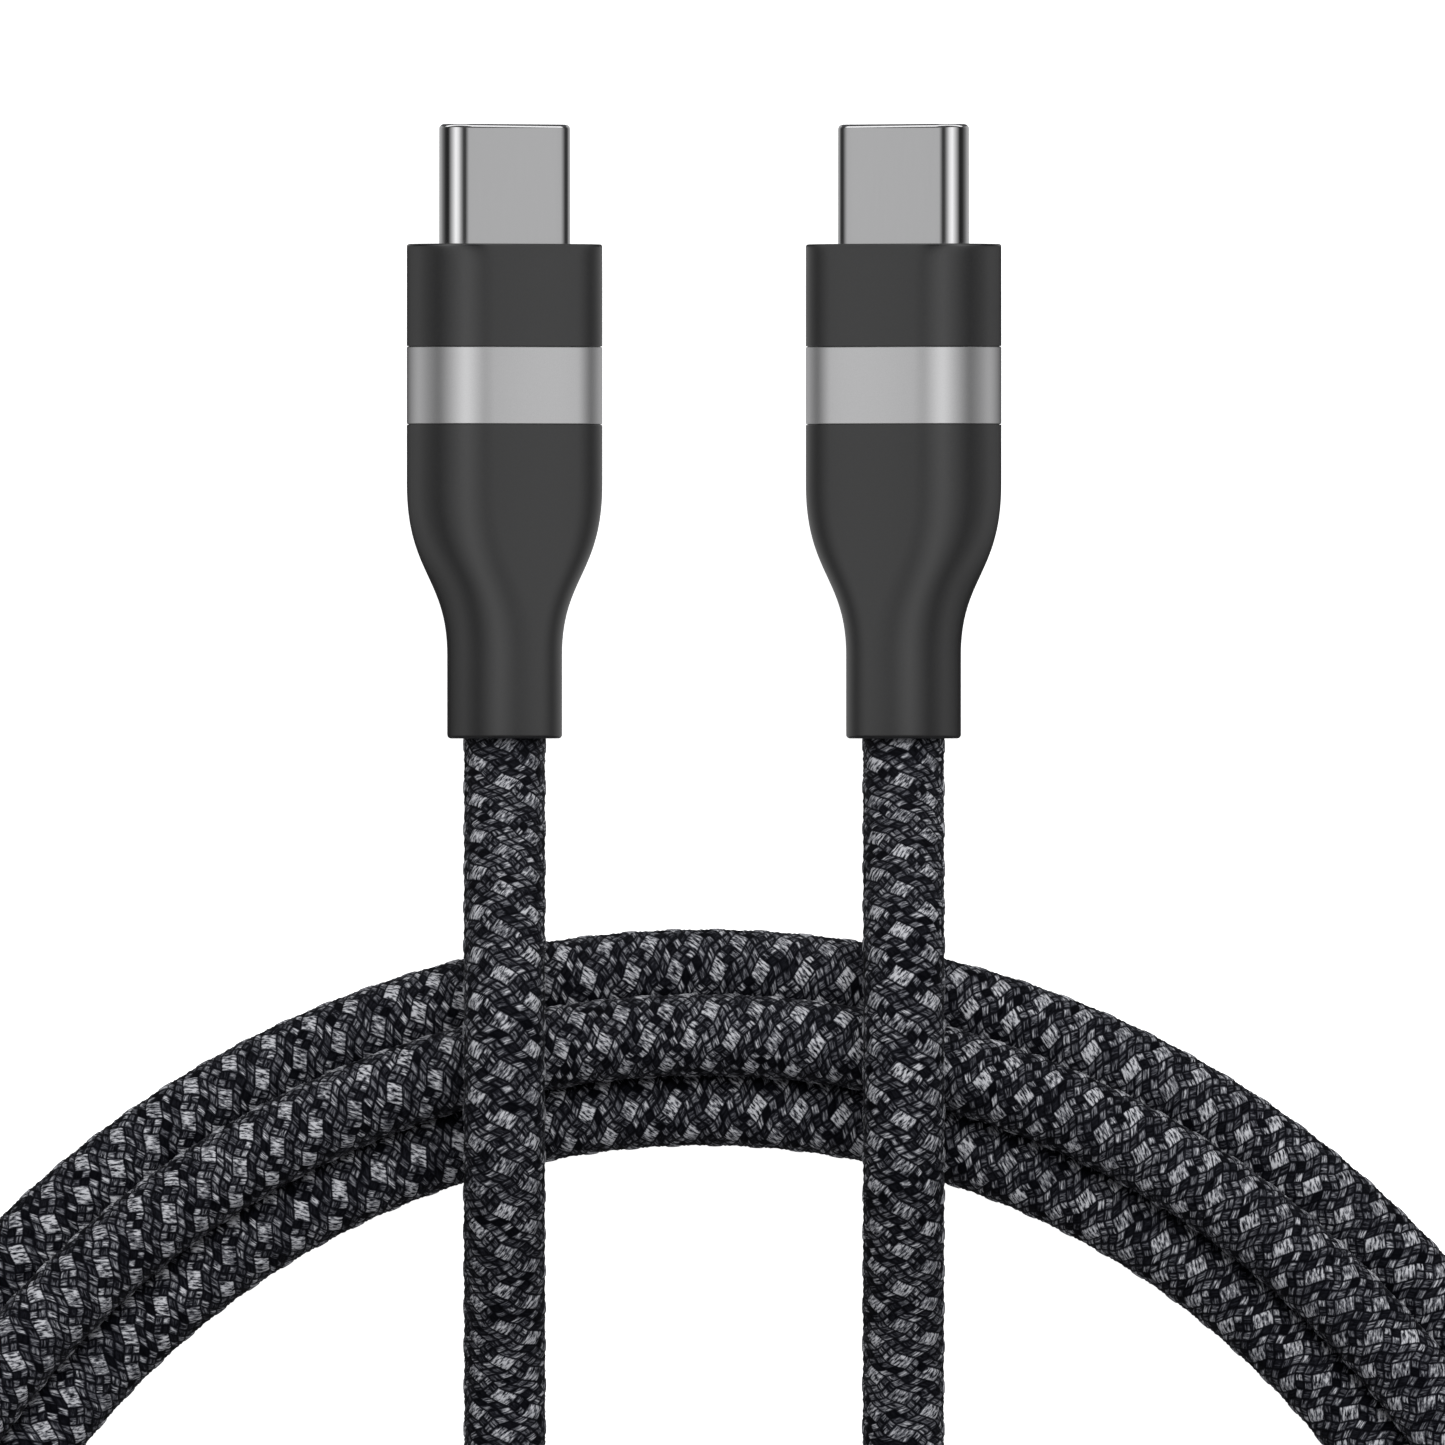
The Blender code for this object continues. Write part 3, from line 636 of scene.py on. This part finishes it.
def smooth_line(knots, spacing):
    """Evenly spaced points on the natural cubic spline through the knots."""
    count = len(knots)
    span = np.linalg.norm(np.diff(knots, axis=0), axis=1)
    system = np.eye(count)
    sides = np.zeros((count, 3))
    for i in range(1, count - 1):
        system[i, i - 1 : i + 2] = span[i - 1], 2 * (span[i - 1] + span[i]), span[i]
        after = (knots[i + 1] - knots[i]) / span[i]
        before = (knots[i] - knots[i - 1]) / span[i - 1]
        sides[i] = 6 * (after - before)
    bend = np.linalg.solve(system, sides)
    fine = []
    for i in range(count - 1):
        ahead = (np.arange(SPLINE_STEPS) / SPLINE_STEPS * span[i])[:, None]
        left = span[i] - ahead
        cubic = (bend[i] * left**3 + bend[i + 1] * ahead**3) / (6 * span[i])
        start = (knots[i] / span[i] - bend[i] * span[i] / 6) * left
        end = (knots[i + 1] / span[i] - bend[i + 1] * span[i] / 6) * ahead
        fine.append(cubic + start + end)
    fine = np.vstack([*fine, knots[-1:]])
    run = np.r_[0, np.cumsum(np.linalg.norm(np.diff(fine, axis=0), axis=1))]
    steps = np.linspace(0, run[-1], round(run[-1] / spacing) + 1)
    return np.stack([np.interp(steps, run, fine[:, axis]) for axis in range(3)], axis=1)


def carried_frames(line):
    """Two directions across the line at each point, carried along it without twisting."""
    tangent = np.gradient(line, axis=0)
    tangent /= np.linalg.norm(tangent, axis=1)[:, None]
    up = np.array((0.0, 0.0, 1.0))
    ups = []
    for direction in tangent:
        up = up - direction * up.dot(direction)
        up = up / np.linalg.norm(up)
        ups.append(up)
    ups = np.array(ups)
    return ups, np.cross(tangent, ups)


class Tube:
    """Places points around the cord's centreline, in metres."""

    def __init__(self, line):
        self.line = line
        self.step = np.linalg.norm(line[1] - line[0])
        self.length = self.step * (len(line) - 1)
        self.up, self.across = carried_frames(line)

    def points(self, run, turn, radius):
        """run is how far along in millimetres, turn the angle about the centreline."""
        place = np.clip(run / self.step, 0, len(self.line) - 1)
        before = np.minimum(place.astype(int), len(self.line) - 2)
        share = (place - before)[:, None]

        def between(values):
            return values[before] * (1 - share) + values[before + 1] * share

        reach = np.cos(turn)[:, None] * between(self.up) + np.sin(turn)[:, None] * between(self.across)
        return (between(self.line) + radius[:, None] * reach) * MM


def mesh_piece(name, points, quads, look):
    """A smooth-shaded piece from arrays of points and of four-cornered faces."""
    mesh = bpy.data.meshes.new(name)
    mesh.vertices.add(len(points))
    mesh.vertices.foreach_set("co", points.astype(np.float32).ravel())
    mesh.loops.add(quads.size)
    mesh.loops.foreach_set("vertex_index", quads.astype(np.int32).ravel())
    mesh.polygons.add(len(quads))
    mesh.polygons.foreach_set("loop_start", np.arange(0, quads.size, 4, dtype=np.int32))
    mesh.update(calc_edges=True)
    mesh.validate()
    mesh.shade_smooth()
    mesh.materials.append(look)
    piece = bpy.data.objects.new(name, mesh)
    bpy.context.scene.collection.objects.link(piece)
    return piece


def make_core(tube):
    """The dark jacket under the braid, with a ring of points at every step of the line."""
    count = len(tube.line)
    run = np.repeat(np.arange(count) * tube.step, CORE_SIDES)
    turn = np.tile(np.arange(CORE_SIDES) * 2 * math.pi / CORE_SIDES, count)
    points = tube.points(run, turn, np.full(len(run), CORE_R))
    ring, side = np.meshgrid(np.arange(count - 1), np.arange(CORE_SIDES), indexing="ij")
    beside = (side + 1) % CORE_SIDES
    here, ahead = ring * CORE_SIDES, (ring + 1) * CORE_SIDES
    quads = np.stack([here + side, here + beside, ahead + beside, ahead + side], axis=-1)
    return mesh_piece("cord_jacket", points, quads.reshape(-1, 4), CORE_JACKET)


def counted(*counts):
    """Every combination of numbers below the counts, in flat arrays; the last one runs fastest."""
    grids = np.meshgrid(*(np.arange(count) for count in counts), indexing="ij")
    return [grid.ravel() for grid in grids]


def is_groove(line, is_float):
    """Whether this mesh line runs in a groove: on every border, and between two single yarns."""
    return (line % LINE_COUNT == 0) | ((line == MIDDLE_LINE) & ~is_float)


def crossing_depths(a_line, b_line, is_float):
    """How far the mesh points of crossings lie under the highest one."""
    grooves = is_groove(a_line, is_float).astype(int) + is_groove(b_line, is_float)
    crown = np.where((a_line == MIDDLE_LINE) & (b_line == MIDDLE_LINE), 0.0, FLOAT_DROP)
    crown = np.where(is_float, crown, YARN_DROP)
    return np.select([grooves == 0, grooves == 1], [crown, GROOVE_DROP], PIT_DROP)


def lattice_place(a_place, b_place):
    """Where a place in the lattice lies: how far along the cord and the angle round it. The two
    counts run along the cord and opposite ways round it. The lattice is stretched so that the
    crossings under light bundles have the bundles' own shape, and wanders a little."""
    around = 2 * math.pi * BRAID_R / (2 * CARRIERS)
    along = BRAID_LEAD / (2 * CARRIERS)
    a_wave = 0.5 - np.abs(a_place % 2 - 1)
    b_wave = 0.5 - np.abs(b_place % 2 - 1)
    turn = a_wave * (FLOAT_LENGTH[0] - around) + b_wave * (FLOAT_WIDTH[0] + around)
    run = a_wave * (FLOAT_LENGTH[1] - along) + b_wave * (FLOAT_WIDTH[1] - along)
    angle = (turn + (a_place - b_place) * around) / BRAID_R
    run = run + (a_place + b_place) * along
    angle = angle + WANDER[0] / BRAID_R * np.sin(2 * angle - run / WANDER_RUNS[0])
    return run + WANDER[1] * np.sin(3 * angle + run / WANDER_RUNS[1]), angle


class Lattice:
    """The crossings of the bundles. A row of them lies straight round the cord, in every second
    column, and a and b count them along the bundles of either direction. Each crossing has a
    square grid of mesh points, and each point is also the first corner of a face."""

    def __init__(self, rows):
        row, place = counted(rows + 2, CARRIERS)
        self.row = row
        self.column = row % 2 + 2 * place
        self.a_index = (row + self.column) // 2
        self.b_index = (row - self.column) // 2
        self.is_float = (self.a_index % 2 == 0) & (self.b_index % 2 == 0)
        self.crossing, self.a_line, self.b_line = counted(len(row), LINE_COUNT, LINE_COUNT)

    def points(self, tube):
        a_place = self.a_index[self.crossing] + LINE_PLACES[self.a_line]
        b_place = self.b_index[self.crossing] + LINE_PLACES[self.b_line]
        run, turn = lattice_place(a_place, b_place)
        depth = crossing_depths(self.a_line, self.b_line, self.is_float[self.crossing])
        return tube.points(run, turn, BRAID_R - depth)

    def corner(self, a_step, b_step):
        """Number of the mesh point that many lines on, in this crossing or the one after it."""
        a_over = (self.a_line + a_step == LINE_COUNT).astype(int)
        b_over = (self.b_line + b_step == LINE_COUNT).astype(int)
        row = self.row[self.crossing] + a_over + b_over
        column = (self.column[self.crossing] + a_over - b_over) % (2 * CARRIERS)
        crossing = row * CARRIERS + (column - row % 2) // 2
        a_line = (self.a_line + a_step) % LINE_COUNT
        b_line = (self.b_line + b_step) % LINE_COUNT
        return (crossing * LINE_COUNT + a_line) * LINE_COUNT + b_line

    def faces(self):
        steps = ((0, 0), (1, 0), (1, 1), (0, 1))
        return np.stack([self.corner(*step) for step in steps], axis=-1)

    def looks(self):
        """What braid_material reads, for the four corners of each face: fibre, tone and crown."""
        bundle_width = 2 * math.pi * BRAID_R / CARRIERS
        cell_side = math.hypot(bundle_width, BRAID_LEAD / CARRIERS) / 2
        a_line, b_line = self.a_line, self.b_line
        a_corner = np.stack([a_line, a_line + 1, a_line + 1, a_line], axis=-1)
        b_corner = np.stack([b_line, b_line, b_line + 1, b_line + 1], axis=-1)
        a_index, b_index = self.a_index[self.crossing], self.b_index[self.crossing]
        a_place = (LINE_PLACES[a_corner] + a_index[:, None]) * cell_side
        b_place = (LINE_PLACES[b_corner] + b_index[:, None]) * cell_side

        floats = self.is_float[self.crossing]
        a_half = ((a_line >= MIDDLE_LINE) & ~floats).astype(int)
        b_half = ((b_line >= MIDDLE_LINE) & ~floats).astype(int)
        a_on_top = a_half == b_half  # whether the yarn that a counts along is the upper one
        across = np.where(a_on_top[:, None], b_place, a_place)
        along = np.where(a_on_top[:, None], a_place, b_place)
        number = np.where(a_on_top, b_index % CARRIERS, CARRIERS + a_index % CARRIERS)
        fibre = np.stack([across, along, np.repeat(number[:, None], 4, axis=1)], axis=-1)

        draws = np.random.default_rng(BRAID_SEED).random((len(self.row), 2, 2))
        share = draws[self.crossing, a_half, b_half]
        tones = [np.interp(share, (0, 1), ends) for ends in (FLOAT_TONES, GREY_TONES, BLACK_TONES)]
        tone = np.repeat(np.select([floats, a_on_top], tones[:2], tones[2])[:, None], 4, axis=1)
        a_crown, b_crown = (~is_groove(line, floats[:, None]) for line in (a_corner, b_corner))
        return fibre, tone, np.stack([a_crown, b_crown, np.zeros_like(a_crown)], axis=-1)


def store(piece, title, kind, values):
    """Keeps a number or a vector for each corner of each face."""
    layer = piece.data.attributes.new(title, kind, "CORNER")
    field = "vector" if kind == "FLOAT_VECTOR" else "value"
    layer.data.foreach_set(field, values.astype(np.float32).ravel())


def make_braid(tube):
    """The braid as a lattice of crossings, cut into several pieces along the cord."""
    rows = int(tube.length * 2 * CARRIERS / BRAID_LEAD) - 2
    lattice = Lattice(rows)
    points, faces = lattice.points(tube), lattice.faces()
    fibre, tone, crown = lattice.looks()
    part = lattice.row[lattice.crossing] * BRAID_PARTS // rows
    pieces = []
    for number in range(BRAID_PARTS):
        mine = part == number
        kept, local = np.unique(faces[mine], return_inverse=True)
        name = f"cord_braid_{number + 1}"
        piece = mesh_piece(name, points[kept], local.reshape(-1, 4), BRAIDED_YARN)
        store(piece, "fibre", "FLOAT_VECTOR", fibre[mine])
        store(piece, "tone", "FLOAT", tone[mine])
        store(piece, "crown", "FLOAT_VECTOR", crown[mine])
        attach(piece, BODY)
        pieces.append(piece)
    return pieces


def make_cord():
    tube = Tube(smooth_line(cord_knots(), PATH_STEP))
    core = make_core(tube)
    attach(core, BODY)
    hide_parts("cord_coil", "a_lead", "b_lead")
    braid = make_braid(tube)
    [tuple(point) for point in tube.line * MM]


# ---------------------------------------------------------------- camera, light and floor


def make_camera():
    data = bpy.data.cameras.new("camera")
    data.lens = LENS
    data.sensor_width = SENSOR
    data.clip_end = CLIP_END
    camera = bpy.data.objects.new("camera", data)
    distance = VIEW_WIDTH * LENS / SENSOR
    camera.location = (VIEW_CENTRE[0] * MM, VIEW_CENTRE[1] * MM, (REST_HEIGHT + distance) * MM)
    bpy.context.scene.collection.objects.link(camera)
    bpy.context.scene.camera = camera


def glowing_sheet(name, rows, light):
    """A sheet of light that only shows in gloss. Each row is (one end, other end, radiance)."""
    shape = bmesh.new()
    level = shape.verts.layers.float.new("glow")
    for one, other, radiance in rows:
        for end in (one, other):
            shape.verts.new(Vector(end) * MM)[level] = radiance
    shape.verts.ensure_lookup_table()
    for i in range(len(rows) - 1):
        shape.faces.new([shape.verts[2 * i + corner] for corner in (0, 1, 3, 2)])
    mesh = bpy.data.meshes.new(name)
    shape.to_mesh(mesh)
    shape.free()
    mesh.materials.append(light)
    sheet = bpy.data.objects.new(name, mesh)
    sheet.visible_camera = False
    sheet.visible_diffuse = False
    sheet.visible_shadow = False
    sheet.visible_transmission = False
    bpy.context.scene.collection.objects.link(sheet)


def make_light_tent(name, side, radius, ends, glow, light):
    """A tube of soft light around a plug, between two stations along it."""
    angles, levels = zip(*glow)
    rows = []
    for i in range(TENT_STRIPS + 1):
        angle = 360 * i / TENT_STRIPS - 180
        turn = math.radians(angle)
        x = side * (PLUG_X - radius * math.sin(turn))
        z = REST_HEIGHT + radius * math.cos(turn)
        front, rear = ((x, y, z) for y in ends)
        rows.append((front, rear, float(np.interp(angle, angles, levels))))
    glowing_sheet(name, rows, light)


def sheet_light():
    """Shines as brightly as each place on the sheet says."""
    material = bpy.data.materials.new("sheet_light")
    material.use_nodes = True
    tree = material.node_tree
    tree.nodes.clear()
    level = tree.nodes.new("ShaderNodeAttribute")
    level.attribute_name = "glow"
    glow = tree.nodes.new("ShaderNodeEmission")
    tree.links.new(level.outputs["Fac"], glow.inputs["Strength"])
    output = tree.nodes.new("ShaderNodeOutputMaterial")
    tree.links.new(glow.outputs[0], output.inputs["Surface"])
    return material


def make_key():
    """A soft light from above, which gloss doesn't show."""
    data = bpy.data.lights.new("key", "SUN")
    data.energy = KEY_STRENGTH
    data.angle = KEY_SPREAD
    key = bpy.data.objects.new("key", data)
    key.rotation_euler = KEY_TILT
    key.visible_glossy = False
    bpy.context.scene.collection.objects.link(key)


def make_glossy_lights():
    """A light tent around each plug's metal shell and another around its body, and a low card in
    front that lines the plugs' front edges."""
    light = sheet_light()
    shell_ends = (SHELL_TENT_FRONT_Y, SHOULDER_Y + TENT_CLEARANCE)
    for tag, side in (("a", -1), ("b", 1)):
        make_light_tent(f"{tag}_shell_tent", side, SHELL_TENT_R, shell_ends, SHELL_GLOW, light)
        make_light_tent(f"{tag}_body_tent", side, BODY_TENT_R, BODY_TENT_Y, BODY_GLOW, light)
    rows = []
    for z in CARD_Z:
        rows.append(((-CARD_REACH, CARD_Y, z), (CARD_REACH, CARD_Y, z), CARD_RADIANCE))
    glowing_sheet("front_card", rows, light)


def make_world():
    """White behind everything, a dim grey room in gloss and a brighter one as fill."""
    world = bpy.data.worlds.new("studio")
    world.use_nodes = True
    bpy.context.scene.world = world
    tree = world.node_tree
    tree.nodes.clear()
    path = tree.nodes.new("ShaderNodeLightPath")
    output = tree.nodes.new("ShaderNodeOutputWorld")
    fill, room, white = (tree.nodes.new("ShaderNodeBackground") for _ in range(3))
    fill.inputs["Color"].default_value = (*WORLD_FILL, 1)
    room.inputs["Color"].default_value = (*WORLD_IN_GLOSS, 1)
    white.inputs["Color"].default_value = (1, 1, 1, 1)
    glossy = tree.nodes.new("ShaderNodeMixShader")
    seen = tree.nodes.new("ShaderNodeMixShader")
    tree.links.new(path.outputs["Is Glossy Ray"], glossy.inputs[0])
    tree.links.new(fill.outputs[0], glossy.inputs[1])
    tree.links.new(room.outputs[0], glossy.inputs[2])
    tree.links.new(path.outputs["Is Camera Ray"], seen.inputs[0])
    tree.links.new(glossy.outputs[0], seen.inputs[1])
    tree.links.new(white.outputs[0], seen.inputs[2])
    tree.links.new(seen.outputs[0], output.inputs["Surface"])


def make_floor():
    """A wide pale floor that also glows where it is seen directly. Gloss doesn't show it."""
    mesh = bpy.data.meshes.new("floor")
    shape = bmesh.new()
    bmesh.ops.create_grid(shape, x_segments=1, y_segments=1, size=FLOOR_REACH)
    shape.to_mesh(mesh)
    shape.free()
    floor = bpy.data.objects.new("floor", mesh)
    floor.location.z = cad_box[0].z - FLOOR_DROP
    floor.visible_glossy = False
    material = bpy.data.materials.new("pale_floor")
    material.use_nodes = True
    tree = material.node_tree
    tree.nodes.clear()
    output = tree.nodes.new("ShaderNodeOutputMaterial")
    path = tree.nodes.new("ShaderNodeLightPath")
    matt, glow = tree.nodes.new("ShaderNodeBsdfDiffuse"), tree.nodes.new("ShaderNodeEmission")
    matt.inputs["Color"].default_value = (FLOOR_GREY, FLOOR_GREY, FLOOR_GREY, 1)
    glow.inputs["Strength"].default_value = FLOOR_GLOW
    lit, mix = tree.nodes.new("ShaderNodeAddShader"), tree.nodes.new("ShaderNodeMixShader")
    tree.links.new(matt.outputs[0], lit.inputs[0])
    tree.links.new(glow.outputs[0], lit.inputs[1])
    tree.links.new(path.outputs["Is Camera Ray"], mix.inputs[0])
    tree.links.new(matt.outputs[0], mix.inputs[1])
    tree.links.new(lit.outputs[0], mix.inputs[2])
    tree.links.new(mix.outputs[0], output.inputs["Surface"])
    mesh.materials.append(material)
    bpy.context.scene.collection.objects.link(floor)


bpy.context.scene.view_settings.view_transform = "Standard"
make_camera()
make_cord()
for tag in TAGS:
    make_shell(tag)
    make_front_cover(tag)
    make_ring(tag)
    make_rear_boot(tag)
dress_cad_nodes()
make_key()
make_glossy_lights()
make_world()
make_floor()
